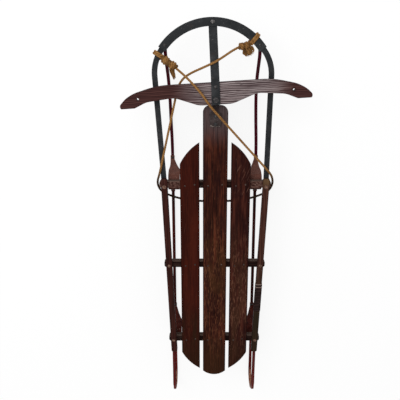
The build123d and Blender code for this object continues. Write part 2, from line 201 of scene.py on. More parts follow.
def noise(tree, place, stretch, detail, roughness=0.6, shift=(0, 0, 0), distortion=0.0, turn=0.0):
    # Noise with so many cells a metre along each axis; turn slants its cells about the upright axis
    if turn:
        slanted = {"Vector": place, "Rotation": (0, 0, math.radians(turn))}
        place = add(tree, "ShaderNodeMapping", slanted).outputs["Vector"]
    mapped = add(tree, "ShaderNodeMapping", {"Vector": place, "Scale": stretch, "Location": shift})
    inputs = {"Vector": mapped.outputs["Vector"], "Scale": 1.0, "Detail": detail}
    inputs.update({"Roughness": roughness, "Distortion": distortion})
    return add(tree, "ShaderNodeTexNoise", inputs).outputs["Fac"]


def stripes(tree, place, gap, distortion=0.0):
    # Stripes across Y, one light and one dark in each gap; at Scale 1 they come pi / 10 apart
    inputs = {"Vector": place, "Scale": math.pi / (10 * gap), "Distortion": distortion}
    return add(tree, "ShaderNodeTexWave", inputs, wave_type="BANDS", bands_direction="Y").outputs["Fac"]


def combine(tree, operation, first, second):
    return add(tree, "ShaderNodeMath", {0: first, 1: second}, operation=operation).outputs["Value"]


def product(tree, whole, *values):
    for value in values:
        whole = combine(tree, "MULTIPLY", whole, value)
    return whole


def weighted(tree, *parts):
    # Sum of values, each times its weight
    total, *others = [product(tree, value, weight) for value, weight in parts]
    for other in others:
        total = combine(tree, "ADD", total, other)
    return total


def band(tree, value, low, high, bottom=0.0, top=1.0):
    inputs = {"Value": value, "From Min": low, "From Max": high, "To Min": bottom, "To Max": top}
    return add(tree, "ShaderNodeMapRange", inputs, interpolation_type="SMOOTHSTEP").outputs["Result"]


def axisOf(tree, place, axis):
    return add(tree, "ShaderNodeSeparateXYZ", {"Vector": place}).outputs[axis]


def sledY(tree):
    return axisOf(tree, objectPlace(tree), "Y")


def farFrom(tree, value, centre):
    # Distance of a coordinate from a centre, either way
    away = combine(tree, "SUBTRACT", value, centre)
    return add(tree, "ShaderNodeMath", {0: away}, operation="ABSOLUTE").outputs["Value"]


def mixed(tree, share, first, second):
    # Sockets 0, 6 and 7 are the share and the two colours
    return add(tree, "ShaderNodeMix", {0: share, 6: first, 7: second}, data_type="RGBA").outputs[2]


def ramp(tree, value, stops):
    made = add(tree, "ShaderNodeValToRGB", {"Fac": value})
    marks = made.color_ramp.elements
    while len(marks) < len(stops):
        marks.new(0.5)
    for mark, (place, colour) in zip(marks, stops):
        mark.position = place
        mark.color = colour
    return made.outputs["Color"]


def bump(tree, shader, height, depth, strength):
    made = add(tree, "ShaderNodeBump", {"Height": height, "Distance": depth, "Strength": strength})
    connect(tree, made.outputs["Normal"], shader, "Normal")


# Finishes; the grain of each is in cells a metre along X, Y and Z

def paintedSideShade(tree, colour, dark, share):
    # Painted shade: faces that turn away from straight up take the dark colour
    up = axisOf(tree, add(tree, "ShaderNodeNewGeometry", {}).outputs["True Normal"], "Z")
    return mixed(tree, band(tree, up, 0.9, 0.4, 0, share), colour, dark)


slatGrain = {
    "broad": (26, 3.4, 26),
    "line": (230, 6.5, 230),
    "fine": (640, 24, 640),
    "pores": (1400, 34, 1400),
    "blotch": (34, 12, 34),
    "patch": (30, 7, 30),
    "dash": (480, 60, 480),
    "scratch": (420, 16, 420),
    "scratched": (16, 9, 16),
    "dents": (80, 30, 80),
    "specular": 0.04,
    "lowFrom": (-0.33, -0.46),  # the slats' rear ends darken
    "lowShare": 0.65,
    "edgeWidth": 0.0055,
    "edgeShare": 0.6,
    "sideShare": 0.6,
}


def slatWood(name, look):
    # Stained board with its grain along Y: thin lines, olive wear, short pale dashes, scratches, dark edges
    grain = slatGrain
    material, tree, shader = newMaterial(name, grain["specular"])
    place = objectPlace(tree)
    shift = look["shift"]
    aside = (shift[0] + 3.7, shift[1] + 1.9, 0)
    broad = noise(tree, place, grain["broad"], 4, 0.6, shift, 0.5)
    line = noise(tree, place, grain["line"], 4, 0.62, shift, 0.4)
    fine = noise(tree, place, grain["fine"], 3, 0.6, aside, 0.2)
    pores = noise(tree, place, grain["pores"], 2, 0.6, shift)
    figure = weighted(tree, (broad, 0.32), (line, 0.40), (fine, 0.28))
    colour = ramp(tree, figure, [(0.42, look["dark"]), (0.50, look["middle"]), (0.58, look["light"])])
    blotch = noise(tree, place, grain["blotch"], 3, 0.6, aside, 0.4)
    colour = mixed(tree, band(tree, blotch, 0.50, 0.64, 0, look["blotchShare"]), colour, look["blotch"])
    y = sledY(tree)
    wornZone = band(tree, farFrom(tree, y, look["wornAt"]), look["wornReach"], 0.3 * look["wornReach"])
    patch = band(tree, noise(tree, place, grain["patch"], 4, 0.65, aside, 0.4), 0.42, 0.62)
    colour = mixed(tree, product(tree, wornZone, patch, look["wornShare"]), colour, look["worn"])
    dash = band(tree, noise(tree, place, grain["dash"], 2, 0.5, aside, 0.2), 0.55, 0.64)
    dash = product(tree, dash, band(tree, wornZone, 0, 1, 0.15, 0.85))
    dash = product(tree, dash, band(tree, broad, 0.38, 0.58, 0.2, 1.0))
    colour = mixed(tree, dash, colour, look["dash"])
    scratch = noise(tree, place, grain["scratch"], 2, 0.5, aside, 0.3, look["slant"])
    scratched = noise(tree, place, grain["scratched"], 2, 0.5, aside)
    scratchZone = band(tree, scratched, 0.52, 0.62, 0, look["scratchShare"])
    colour = mixed(tree, product(tree, band(tree, scratch, 0.62, 0.68), scratchZone), colour, look["scratch"])
    grey = product(tree, band(tree, y, *look["greyFrom"]), band(tree, line, 0.3, 0.6, 0.35, 1.0))
    colour = mixed(tree, grey, colour, look["grey"])
    colour = mixed(tree, band(tree, y, *grain["lowFrom"], 0, grain["lowShare"]), colour, look["low"])
    aboutMiddle = farFrom(tree, axisOf(tree, place, "X"), look["centre"])
    edge = band(tree, aboutMiddle, look["half"] - grain["edgeWidth"], look["half"])
    colour = mixed(tree, product(tree, edge, grain["edgeShare"]), colour, look["dark"])
    dents = band(tree, noise(tree, place, grain["dents"], 3, 0.6, shift), 0.64, 0.74, 0, 0.6)
    colour = mixed(tree, dents, colour, look["dark"])
    # painted shade on the board's sides
    connect(tree, paintedSideShade(tree, colour, look["dark"], grain["sideShare"]), shader, "Base Color")
    connect(tree, band(tree, fine, 0.3, 0.7, 0.52, 0.74), shader, "Roughness")
    bump(tree, shader, weighted(tree, (line, 1.0), (pores, 0.5)), 0.0007, 0.8)
    return material


barGrain = {
    "sway": (9, 40, 12),
    "lines": (9, 330, 40),
    "fine": (16, 700, 200),
    "broad": (8, 50, 40),
    "cracks": (34, 420, 60),
    "weather": (14, 30, 30),
}


def barWood(name, look):
    # Weathered steering bar with its grain along X: close dark lines and cracks in the middle, smooth tips
    grain = barGrain
    material, tree, shader = newMaterial(name, look["specular"])
    place = objectPlace(tree)
    x = axisOf(tree, place, "X")
    sway = product(tree, noise(tree, place, grain["sway"], 3, 0.55, (1.3, 0.4, 0)), look["sway"])
    lift = combine(tree, "SUBTRACT", sway, product(tree, x, look["slope"]))
    bent = add(tree, "ShaderNodeCombineXYZ", {"Y": lift})
    place = add(tree, "ShaderNodeVectorMath", {0: place, 1: bent.outputs[0]}, operation="ADD").outputs[0]
    rings = stripes(tree, place, look["lineGap"])
    lines = noise(tree, place, grain["lines"], 2, 0.5, (0.7, 0.2, 0))
    fine = noise(tree, place, grain["fine"], 4, 0.65)
    broad = noise(tree, place, grain["broad"], 3, 0.6, (3.1, 0, 0))
    figure = weighted(tree, (lines, 0.45), (fine, 0.2), (broad, 0.15), (rings, 0.2))
    smooth = ramp(tree, figure, [(0.38, look["tipDark"]), (0.52, look["tip"]), (0.66, look["tipLight"])])
    rough = ramp(tree, figure, [(0.39, look["line"]), (0.47, look["middle"]), (0.54, look["pale"]),
                                (0.63, look["palest"])])
    cracks = band(tree, noise(tree, place, grain["cracks"], 2, 0.5, (0.1, 2.7, 0)), 0.62, 0.68, 0, 0.7)
    cracks = product(tree, cracks, band(tree, x, *look["cracksFrom"], 0.3, 1.0))
    rough = mixed(tree, cracks, rough, look["line"])
    weather = product(tree, band(tree, x, *look["leftFade"]), band(tree, x, *look["rightFade"]))
    uneven = band(tree, noise(tree, place, grain["weather"], 3), 0.25, 0.5, 0.7, 1.0)
    weather = product(tree, weather, uneven)
    colour = mixed(tree, weather, smooth, rough)
    away = add(tree, "ShaderNodeVectorMath", {0: objectPlace(tree), 1: look["stainAt"]}, operation="DISTANCE")
    stain = band(tree, away.outputs["Value"], *look["stainReach"], 0, look["stainShare"])
    colour = mixed(tree, stain, colour, look["stain"])
    # painted shade on the bar's sides
    connect(tree, paintedSideShade(tree, colour, look["line"], look["sideShare"]), shader, "Base Color")
    connect(tree, band(tree, figure, 0.3, 0.7, 0.5, 0.78), shader, "Roughness")
    bump(tree, shader, product(tree, figure, combine(tree, "ADD", weather, 0.25)), 0.0018, 0.8)
    return material


def plainWood(name, look):
    # Stained stick: grain along one axis, rubbed lighter in places, and with a painted highlight along a front
    # edge where one is given
    material, tree, shader = newMaterial(name, look["specular"])
    place = objectPlace(tree)
    fine = noise(tree, place, look["stretch"], 5, 0.66, look["shift"], 0.3)
    rubbed = noise(tree, place, look["patches"], 4, 0.62, look["shift"])
    colour = ramp(tree, fine, [(0.36, look["dark"]), (0.52, look["middle"]), (0.68, look["light"])])
    rub = product(tree, band(tree, rubbed, 0.5, 0.7), band(tree, fine, 0.4, 0.65))
    colour = mixed(tree, product(tree, rub, look["rubShare"]), colour, look["rubbed"])
    y = sledY(tree)
    for zone in look.get("soiledFrom", ()):
        soiled = product(tree, band(tree, y, *zone), band(tree, fine, 0.3, 0.7, 1.0, 0.6))
        colour = mixed(tree, soiled, colour, look["soiled"])
    if "tanFrom" in look:
        tan = product(tree, band(tree, y, *look["tanFrom"]), band(tree, fine, 0.3, 0.6, 0.45, 0.9))
        colour = mixed(tree, tan, colour, look["tan"])
    if "outerFrom" in look:
        outer = band(tree, farFrom(tree, axisOf(tree, place, "X"), 0.0), *look["outerFrom"])
        speckles = noise(tree, place, look["speckles"], 3, 0.6)
        stops = [(0.38, look["light"]), (0.52, look["outer"]), (0.66, look["rubbed"])]
        colour = mixed(tree, outer, colour, ramp(tree, speckles, stops))
    if "edgeAt" in look:
        # Painted highlight along the front edge, broken up by the rub pattern
        edge = band(tree, farFrom(tree, y, look["edgeAt"]), *look["edgeReach"])
        edge = product(tree, edge, band(tree, rubbed, 0.3, 0.6, 0.3, 0.9))
        colour = mixed(tree, edge, colour, look["rubbed"])
    # painted shade on the stick's sides
    connect(tree, paintedSideShade(tree, colour, look["dark"], 0.5), shader, "Base Color")
    connect(tree, band(tree, fine, 0.3, 0.7, 0.5, 0.72), shader, "Roughness")
    bump(tree, shader, fine, 0.0005, 0.7)
    return material


paintGrain = {
    "speck": (320, 320, 320),
    "rub": (120, 420, 120),
    "rust": (26, 26, 26),
    "tail": (110, 110, 60),
    "grit": (700, 700, 700),
}


def paintedSteel(name, look, bent=False):
    # Old paint on steel: uneven tone, rubbed scuffs, fine specks and rust in patches
    grain = paintGrain
    material, tree, shader = newMaterial(name, look["specular"])
    place = straightPlace(tree) if bent else objectPlace(tree)
    tone = noise(tree, place, look["tone"], 4, 0.6)
    colour = ramp(tree, tone, [(0.32, look["dark"]), (0.52, look["middle"]), (0.72, look["light"])])
    for zone, dark, light in look.get("zones", ()):
        colour = mixed(tree, band(tree, sledY(tree), *zone), colour, mixed(tree, tone, dark, light))
    scuff = noise(tree, place, look["scuffs"], 4, 0.7, (2.1, 0.3, 0.9))
    colour = mixed(tree, band(tree, scuff, 0.60, 0.70, 0, look["scuffShare"]), colour, look["scuff"])
    speck = noise(tree, place, grain["speck"], 2, 0.5, (0.2, 4.1, 0))
    colour = mixed(tree, band(tree, speck, 0.67, 0.73, 0, look["speckShare"]), colour, look["speck"])
    if "rubAt" in look:
        near = band(tree, farFrom(tree, sledY(tree), look["rubAt"]), *look["rubReach"])
        patchy = band(tree, noise(tree, place, grain["rub"], 3, 0.6, (0.4, 0, 0)), 0.50, 0.64, 0, 0.8)
        colour = mixed(tree, product(tree, near, patchy), colour, look["rub"])
    rust = noise(tree, place, grain["rust"], 5, 0.7, (5.2, 1.1, 0))
    rust = band(tree, rust, 0.56, 0.70, 0, look["rustShare"])
    colour = mixed(tree, rust, colour, look["rust"])
    if "tail" in look:
        worn = band(tree, noise(tree, place, grain["tail"], 3, 0.6, (1.6, 0.7, 0)), 0.40, 0.58, 0, 0.8)
        worn = product(tree, band(tree, sledY(tree), *look["tailFrom"]), worn)
        colour = mixed(tree, worn, colour, look["tail"])
    connect(tree, colour, shader, "Base Color")
    rough = weighted(tree, (band(tree, tone, 0.3, 0.7, 0.42, 0.6), 1.0), (rust, 0.25))
    connect(tree, rough, shader, "Roughness")
    grit = noise(tree, place, grain["grit"], 3, 0.6)
    bump(tree, shader, weighted(tree, (grit, 1.0), (tone, 2.0)), 0.0003, 0.6)
    return material


boltGrain = {"tone": (260, 260, 260), "scratch": (1500, 260, 900), "specular": 0.4}


def bareSteel(name, look):
    # Worn bolt heads: dull grey with dark dirt and bright scratch marks, which are partly painted highlights
    material, tree, shader = newMaterial(name, boltGrain["specular"], metallic=look["metallic"])
    place = objectPlace(tree)
    tone = noise(tree, place, boltGrain["tone"], 4, 0.65)
    scratch = noise(tree, place, boltGrain["scratch"], 3, 0.7, (0.6, 0.1, 0))
    colour = ramp(tree, tone, [(0.34, look["dark"]), (0.50, look["middle"]), (0.66, look["light"])])
    # bright scratch marks, partly painted highlights
    colour = mixed(tree, band(tree, scratch, 0.60, 0.70, 0, 0.7), colour, look["scratch"])
    connect(tree, colour, shader, "Base Color")
    connect(tree, band(tree, tone, 0.3, 0.7, 0.65, 0.35), shader, "Roughness")
    bump(tree, shader, scratch, 0.0002, 0.5)
    return material


def ropeFibre(name, look):
    # Twisted fibre: thin lines that wind with the strands, with painted shade in the grooves and a painted shadow
    # under the deck
    material, tree, shader = newMaterial(name, look["specular"], look["roughness"])
    fuzz = noise(tree, straightPlace(tree), look["fuzz"], 4, 0.7)
    patch = noise(tree, objectPlace(tree), look["patches"], 3, 0.6)
    colour = ramp(tree, fuzz, [(0.34, look["dark"]), (0.52, look["middle"]), (0.70, look["light"])])
    colour = mixed(tree, band(tree, patch, 0.45, 0.7, 0, 0.5), colour, look["soiled"])
    # painted shade from the grooves, the knots' waists and the yarns' roots
    depth = add(tree, "ShaderNodeAttribute", {}, attribute_name="groove").outputs["Fac"]
    colour = mixed(tree, product(tree, depth, look["deepShare"]), colour, look["deep"])
    # painted shadow on the rope under the rails and the deck
    under = band(tree, sledY(tree), *look["dirtyFrom"])
    colour = mixed(tree, product(tree, under, look["dirtyShare"]), colour, look["dirty"])
    connect(tree, colour, shader, "Base Color")
    bump(tree, shader, fuzz, 0.0004, 0.8)
    return material


def tapeCloth(name, look):
    # Wound cloth tape: dark, with a fine weave and two pale lines at its front, painted highlights on its front
    # edge
    material, tree, shader = newMaterial(name, look["specular"], look["roughness"])
    place = objectPlace(tree)
    y = sledY(tree)
    weave = add(tree, "ShaderNodeTexBrick", {"Vector": place, "Scale": look["weave"], "Mortar Size": 0.1})
    tone = noise(tree, place, look["patches"], 4, 0.6)
    ribs = stripes(tree, place, look["turnWidth"], 0.6)
    shade = weighted(tree, (tone, 0.6), (ribs, 0.4))
    colour = ramp(tree, shade, [(0.30, look["dark"]), (0.50, look["middle"]), (0.72, look["light"])])
    for spot in look["paleAt"]:
        # painted highlights: two pale lines across the tape's front
        frayed = band(tree, farFrom(tree, y, spot), *look["paleReach"])
        colour = mixed(tree, product(tree, frayed, band(tree, tone, 0.28, 0.48)), colour, look["pale"])
    connect(tree, colour, shader, "Base Color")
    bump(tree, shader, weighted(tree, (weave.outputs["Fac"], 1.0), (tone, 1.5)), 0.0003, 0.7)
    return material


# Camera, floor and light

cameraLook = {"spot": (-0.0419, 0.6178, 1.7945), "turn": (-17.5, 0.09, -0.11), "lens": 51.3, "sensor": 36.0}
camera = bpy.data.objects.new("camera", bpy.data.cameras.new("camera"))
camera.location = cameraLook["spot"]
camera.rotation_euler = [math.radians(angle) for angle in cameraLook["turn"]]
camera.data.lens = cameraLook["lens"]
camera.data.sensor_width = cameraLook["sensor"]
camera.data.sensor_fit = "HORIZONTAL"
bpy.context.scene.collection.objects.link(camera)
bpy.context.scene.camera = camera

floorLook = {"half": 6.0, "shade": 0.86, "glow": 0.8, "strength": 1.06}


def floorMaterial():
    # Pale matt floor; what the camera and mirrors see of it is mostly plain white, so the shadow is faint
    material, tree, shader = newMaterial("paleFloor", specular=0.0, roughness=0.9)
    shader.inputs["Base Color"].default_value = (*[floorLook["shade"]] * 3, 1.0)
    light = add(tree, "ShaderNodeLightPath", {})
    seen = combine(tree, "MAXIMUM", light.outputs["Is Camera Ray"], light.outputs["Is Glossy Ray"])
    seen = combine(tree, "MAXIMUM", seen, light.outputs["Is Transmission Ray"])
    glow = add(tree, "ShaderNodeEmission", {"Color": (1, 1, 1, 1), "Strength": floorLook["strength"]})
    share = product(tree, seen, floorLook["glow"])
    both = add(tree, "ShaderNodeMixShader", {0: share, 1: shader.outputs[0], 2: glow.outputs[0]})
    tree.links.new(both.outputs[0], tree.nodes["Material Output"].inputs["Surface"])
    return material


reach = floorLook["half"]
floorCorners = [(-reach, -reach, 0), (reach, -reach, 0), (reach, reach, 0), (-reach, reach, 0)]
floorMesh = bpy.data.meshes.new("floor")
floorMesh.from_pydata(floorCorners, [], [(0, 1, 2, 3)])
floorMesh.materials.append(floorMaterial())
floor = bpy.data.objects.new("floor", floorMesh)
bpy.context.scene.collection.objects.link(floor)

lightLook = {"sky": 0.62, "lampSpot": (-0.9, 1.3, 2.6), "lampSize": 1.6, "lampPower": 34.0}
world = bpy.data.worlds.new("softSky")
world.use_nodes = True
world.node_tree.nodes["Background"].inputs["Color"].default_value = (1, 1, 1, 1)
world.node_tree.nodes["Background"].inputs["Strength"].default_value = lightLook["sky"]
bpy.context.scene.world = world
lamp = bpy.data.objects.new("lamp", bpy.data.lights.new("lamp", "AREA"))
lamp.data.size = lightLook["lampSize"]
lamp.data.energy = lightLook["lampPower"]
lamp.location = lightLook["lampSpot"]
lamp.rotation_euler = (-lamp.location).to_track_quat("-Z", "Y").to_euler()  # faces the sled's middle
bpy.context.scene.collection.objects.link(lamp)
bpy.context.scene.view_settings.view_transform = "Standard"
print("camera, floor and light")


# Tow rope: one line from the left knot to the right one, in metres

ropeLook = {
    "diameter": 0.0058,
    "overStrands": 0.0068,
    "lay": 0.020,
    "strands": 3,
    "groove": 0.22,
    "grooveShape": 0.7,
    "around": 24,
    "step": 0.0012,
    "specular": 0.12,
    "roughness": 0.85,
    "fuzz": (900, 900, 160),
    "patches": (30, 30, 30),
    "dark": tint(100, 64, 28),
    "middle": tint(164, 117, 64),
    "light": tint(210, 166, 110),
    "soiled": tint(126, 86, 46),
    # painted shade in the grooves, at the knots' waists and at the yarns' roots
    "deep": tint(44, 26, 11),
    "deepShare": 0.75,
    "dirty": tint(24, 15, 12),
    "dirtyShare": 0.92,
    "dirtyFrom": (0.215, 0.155),  # painted shadow: the rope darkens under the rails and the deck
    "bightAt": (0.0, 0.085, 0.120),
    "underBarAt": (-0.104, 0.448, 0.158),
}
ropeRoute = [
    (-0.118, 0.494, 0.153),
    (-0.104, 0.483, 0.1605),
    (-0.081, 0.4665, 0.1915),  # clear of the bar's front edge when the bar swings forward
    (-0.0424, 0.4253, 0.1868),
    (-0.0179, 0.3888, 0.1874),
    (0.0050, 0.3625, 0.1836),  # straight run from the bar to the rail
    (0.1431, 0.2073, 0.1632),
    (0.166, 0.181, 0.160),
    (0.1725, 0.160, 0.150),
    (0.1725, 0.140, 0.134),
    (0.164, 0.121, 0.125),
    (0.140, 0.106, 0.121),
    (0.100, 0.093, 0.120),
    (0.050, 0.087, 0.120),
    (0.0, 0.085, 0.120),  # bight under the deck
    (-0.050, 0.087, 0.120),
    (-0.100, 0.093, 0.120),
    (-0.140, 0.106, 0.121),
    (-0.164, 0.121, 0.125),
    (-0.1725, 0.140, 0.134),
    (-0.1725, 0.160, 0.150),
    (-0.166, 0.181, 0.1575),
    (-0.1582, 0.2151, 0.1575),  # straight run from the rail to the bar
    (-0.1138, 0.4099, 0.1575),
    (-0.106, 0.444, 0.1575),
    (-0.084, 0.470, 0.1484),  # sags under the other stretch
    (-0.022, 0.499, 0.1815),  # hump over the centre strap
    (0.006, 0.5125, 0.1795),
    (0.054, 0.543, 0.156),
    (0.070, 0.5485, 0.154),
]
ropeMaterial = ropeFibre("ropeFibre", ropeLook)


def splineLine(route):
    # Points read from a smooth spline that has the route as its control points
    curve = bpy.data.curves.new("ropeLine", "CURVE")
    curve.dimensions = "3D"
    spline = curve.splines.new("NURBS")
    spline.points.add(len(route) - 1)
    spline.points.foreach_set("co", np.c_[route, np.ones(len(route))].ravel())
    spline.order_u = 3
    spline.use_endpoint_u = True
    spline.resolution_u = 32
    holder = bpy.data.objects.new("ropeLine", curve)
    mesh = bpy.data.meshes.new_from_object(holder)
    line = np.zeros(len(mesh.vertices) * 3)
    mesh.vertices.foreach_get("co", line)
    bpy.data.meshes.remove(mesh)
    bpy.data.objects.remove(holder)
    bpy.data.curves.remove(curve)
    return line.reshape(-1, 3)


def ropeSurface(line, reference, shade=0.0):
    # Rope about a line: round, with a groove between neighbouring strands that winds once in each lay
    along = measured(line)[:, None]
    angle = np.linspace(0, 2 * np.pi, ropeLook["around"], endpoint=False)
    wind = ropeLook["strands"] / 2 * (angle - 2 * np.pi * along / ropeLook["lay"])
    dip = 1 - np.abs(np.cos(wind)) ** ropeLook["grooveShape"]
    radius = ropeLook["overStrands"] / 2 * (1 - ropeLook["groove"] * dip)
    profile = np.stack([radius * np.cos(angle), radius * np.sin(angle)], axis=-1)
    straight = np.concatenate([profile, np.broadcast_to(along[..., None], dip.shape + (1,))], axis=-1)
    # The third part is painted shade: the grooves' depth plus the shade given
    return carried(line, profile, reference), straight, np.minimum(dip + shade, 1.0)


def ropePiece(name, surfaces):
    # One piece from the surfaces of several stretches of rope, with their painted shade (the grooves' depth and
    # any added shade) for the material
    parts = []
    for points, straight, dip in surfaces:
        part = makePiece(name, points, ropeMaterial, straight)
        depth = part.data.attributes.new("groove", "FLOAT", "POINT")
        depth.data.foreach_set("value", dip.astype(np.float32).ravel())
        parts.append(part)
    whole = bmesh.new()
    for part in parts:
        whole.from_mesh(part.data)
    whole.to_mesh(parts[0].data)
    whole.free()
    for part in parts[1:]:
        bpy.data.objects.remove(part)
    return parts[0]


ropeLine = spacedLine(splineLine(ropeRoute), ropeLook["step"])


def nearest(point):
    return int(np.argmin(np.linalg.norm(ropeLine - np.array(point), axis=1)))


# The rope is parted under the deck and under the bar into three stretches
bight = nearest(ropeLook["bightAt"])
underBar = nearest(ropeLook["underBarAt"])
ropeParts = {
    "rope_over_bar": {
        "line": ropeLine[:bight + 1], "bodies": ("sled", "side_strap_left"),
        "start": (-0.04, 0.425, 0.18), "end": (-0.105, 0.484, 0.157),
    },
    "rope_under_bar": {
        "line": ropeLine[bight:underBar + 1][::-1], "bodies": ("sled", "steering"),
        "start": (-0.13, 0.30, 0.157), "end": (-0.13, 0.41, 0.157),
    },
    "rope_over_strap": {
        "line": ropeLine[underBar:][::-1], "bodies": ("steering", "bow"),
        "start": (-0.03, 0.495, 0.18), "end": (0.05, 0.54, 0.157),
    },
}
ropes = {}
for name, part in ropeParts.items():
    ropes[name] = ropePiece(name, [ropeSurface(part["line"], upward)])
    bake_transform(ropes[name])
    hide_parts("tow_rope")
print("rope:", round(measured(ropeLine)[-1], 3), "m in", len(ropes), "stretches")


# Knots: two turns round the steel, a lumpy wound knot and a frayed tail

knotLook = {
    "loopTurns": 2,
    "loopPitch": 0.0060,
    "loopPoints": 120,  # to a turn
    "clear": 0.0003,
    "tuck": 0.003,
    "coilPoints": 400,
    "waist": 0.66,  # share of the coil's radius between its lumps
    "waistShade": 0.75,
}
yarnLook = {
    "diameter": 0.0022,
    "rings": 26,
    "around": 8,
    "shortest": 0.78,  # share of the tail's length
    "wave": 0.0010,
    "flat": 0.6,  # the tail's height against its width
    "seed": 7,
}
knotPlaces = {
    "left": {
        "spot": (-0.1631, 0.5262, 0.148), "outward": (-0.794, 0.608, 0), "width": 0.016, "thick": 0.004,
        "end": ropeRoute[0], "body": "side_strap_left",
        "stem": 0.0, "past": 0.007, "turns": 6.5, "lumps": 2, "coilRadius": 0.0098,
        "tail": (-0.1175, 0.4525, 0.130), "tailFrom": 0.74,
        "yarns": 40, "core": 0.0038, "belly": 0.0026, "flare": 0.0,
    },
    "right": {
        "spot": (0.1064, 0.5692, 0.152), "outward": (0.676, 0.737, 0), "width": 0.024, "thick": 0.004,
        "end": ropeRoute[-1], "body": "bow",
        "stem": 0.004, "past": 0.006, "turns": 4.5, "lumps": 2, "coilRadius": 0.0078,
        "tail": (0.0985, 0.5215, 0.151), "tailFrom": 0.40,
        "yarns": 72, "core": 0.0040, "belly": 0.0090, "flare": 0.0075,
    },
}


def squared(share):
    # The root of a sine or cosine with its sign kept, which makes a circle squarer
    return np.sign(share) * np.sqrt(np.abs(share))


def loopLine(place):
    # Turns about a flat bar: a squared round that creeps along the bar
    turns = knotLook["loopTurns"]
    t = np.linspace(0, 1, knotLook["loopPoints"] * turns)
    angle = 2 * np.pi * turns * t
    gap = ropeLook["overStrands"] / 2 + knotLook["clear"]
    outward = np.array(place["outward"])
    along = np.cross(upward, outward)
    x = squared(np.cos(angle)) * (place["width"] / 2 + gap)
    z = squared(np.sin(angle)) * (place["thick"] / 2 + gap)
    creep = (t - 0.5) * knotLook["loopPitch"] * turns
    line = np.array(place["spot"]) - outward * x[:, None] + upward * z[:, None] + along * creep[:, None]
    return spacedLine(line, ropeLook["step"]), along


def knotLine(start, end, place, hand):
    # A coil about the line from start to end; its radius swells once in each lump, and its waists get painted
    # shade
    t = np.linspace(0, 1, knotLook["coilPoints"])
    axis = end - start
    side = unit(np.cross(axis, upward))
    over = unit(np.cross(side, axis))
    waist = knotLook["waist"]
    radius = place["coilRadius"] * (waist + (1 - waist) * np.sin(np.pi * place["lumps"] * t) ** 2)
    angle = hand * 2 * np.pi * place["turns"] * t + hand
    line = start + axis * t[:, None]
    line = line + side * (radius * np.cos(angle))[:, None] + over * (radius * np.sin(angle))[:, None]
    line = spacedLine(line, ropeLook["step"])
    narrow = np.cos(np.pi * place["lumps"] * ((line - start) @ axis) / (axis @ axis)) ** 2
    return line, unit(axis), knotLook["waistShade"] * narrow[:, None]


def frayedTail(start, end, place):
    # Loose yarns from the knot to the tail's end, each swollen by a belly (half a sine) and a flare (a power)
    rng = np.random.default_rng(yarnLook["seed"])
    count = place["yarns"]
    t = np.linspace(0, 1, yarnLook["rings"])
    around = np.linspace(0, 2 * np.pi, yarnLook["around"], endpoint=False)
    axis = end - start
    side = unit(np.cross(axis, upward))
    over = unit(np.cross(side, axis))
    spin = rng.uniform(0, 2 * np.pi, count)
    share = np.sqrt(rng.uniform(0, 1, count))
    reach = rng.uniform(yarnLook["shortest"], 1.0, count) * (1 - 0.1 * share)
    wave = yarnLook["wave"] * np.sin(2 * np.pi * (1.5 * t + rng.uniform(0, 1, (count, 1))))
    swell = place["core"] + place["belly"] * np.sin(np.pi * t) + place["flare"] * t ** 1.3
    away = swell * share[:, None]
    x = away * np.cos(spin)[:, None] + wave
    y = (away * np.sin(spin)[:, None] + wave) * yarnLook["flat"]
    lines = start + axis * (t * reach[:, None])[..., None] + side * x[..., None] + over * y[..., None]
    radius = yarnLook["diameter"] / 2 * np.sqrt(1.02 - t ** 4)
    ring = side * np.cos(around)[:, None] + over * np.sin(around)[:, None]
    points = lines[:, :, None] + ring * radius[:, None, None]
    # Each yarn as if straight, 2 mm thick and 40 mm long, with its own place in the fibre's noise
    across = np.cos(around) * 0.001 + spin[:, None, None]
    lengthwise = (t * reach[:, None])[..., None] * 0.04
    straight = np.stack(np.broadcast_arrays(across, np.sin(around) * 0.001, lengthwise), axis=-1)
    # Painted shade, darkest at the knot, plus a random darkness for each yarn
    dip = (1 - t) ** 2 + rng.uniform(0, 0.6, (count, 1))
    return points, straight, np.broadcast_to(np.minimum(dip, 1.0)[..., None], points.shape[:3])


knots = {}
for name, place in knotPlaces.items():
    loop, along = loopLine(place)
    outward = np.array(place["outward"])
    rim = np.array(place["spot"]) - outward * place["width"] / 2
    inner = rim - outward * (ropeLook["overStrands"] + place["stem"])
    end = np.array(place["end"])
    last = end + unit(end - inner) * place["past"]
    tailStart = inner + (end - inner) * place["tailFrom"]
    surfaces = [ropeSurface(loop, along)]
    for hand in (1, -1):
        coil, axis, waist = knotLine(inner, last, place, hand)
        surfaces.append(ropeSurface(coil, axis, waist))
    for way in (-1, 1):  # the two strands that the coils are wound on
        beside = along * way * knotLook["loopPitch"] / 2
        start = inner + outward * (place["stem"] + knotLook["tuck"])
        core = spacedLine(np.array([start + beside, inner + beside * 0.8, end]), ropeLook["step"])
        surfaces.append(ropeSurface(core, upward))
    surfaces.append(frayedTail(tailStart, np.array(place["tail"]), place))
    knots[name] = ropePiece("knot_" + name, surfaces)
    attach(knots[name], place["body"])
    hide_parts("rope_knot_" + name)

print("knots:", len(knots))


# Runners: one bent tee bar a side, from under the rail's tail round the loop and up to the bow

